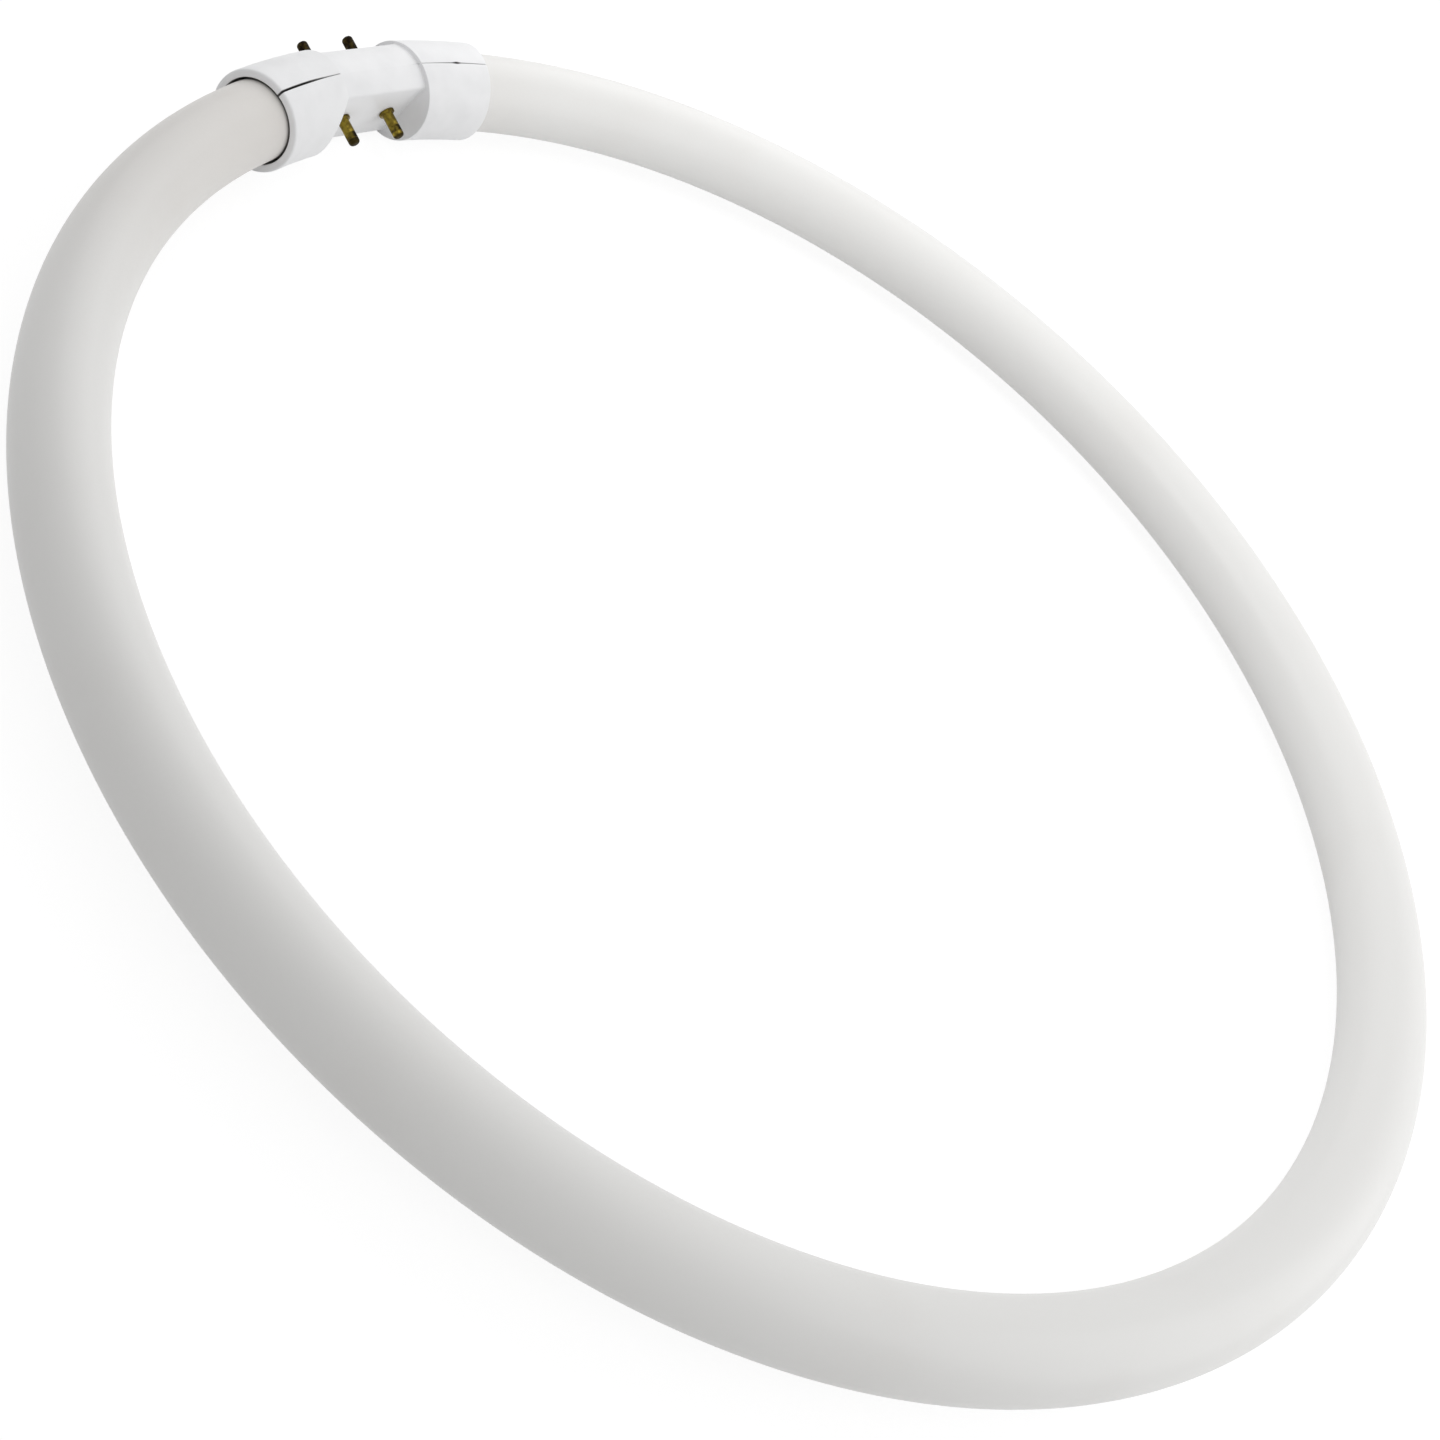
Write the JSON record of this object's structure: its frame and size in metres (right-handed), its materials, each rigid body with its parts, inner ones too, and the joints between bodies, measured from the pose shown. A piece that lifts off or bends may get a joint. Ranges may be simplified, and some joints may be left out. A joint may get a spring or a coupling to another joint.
{
  "type": "circular fluorescent tube",
  "caption": "Circular fluorescent tube: a slim ring of white coated glass closed by a moulded plastic base with brass contact pins on its inner and outer sides.",
  "frame": {"origin": "centre of the ring, on the tube's centreline plane", "axes": "+Z along the ring's axis, up as it lies; the base is on the -X side"},
  "size_m": [0.3048, 0.3, 0.0206],
  "materials": {
    "coated_glass": "smooth glass, white coating inside, opaque",
    "base_plastic": "satin moulded white",
    "pin_brass": "drawn, slightly dulled",
    "lead_wire": "nickel plated"
  },
  "bodies": {
    "root": {"glass_tube": "coated_glass", "base_inner_shell": "base_plastic", "base_outer_shell": "base_plastic", "inner_pin_near": "pin_brass", "inner_lead_near": "lead_wire", "inner_pin_far": "pin_brass", "inner_lead_far": "lead_wire", "outer_pin_near": "pin_brass", "outer_lead_near": "lead_wire", "outer_pin_far": "pin_brass", "outer_lead_far": "lead_wire"}
  },
  "joints": []
}
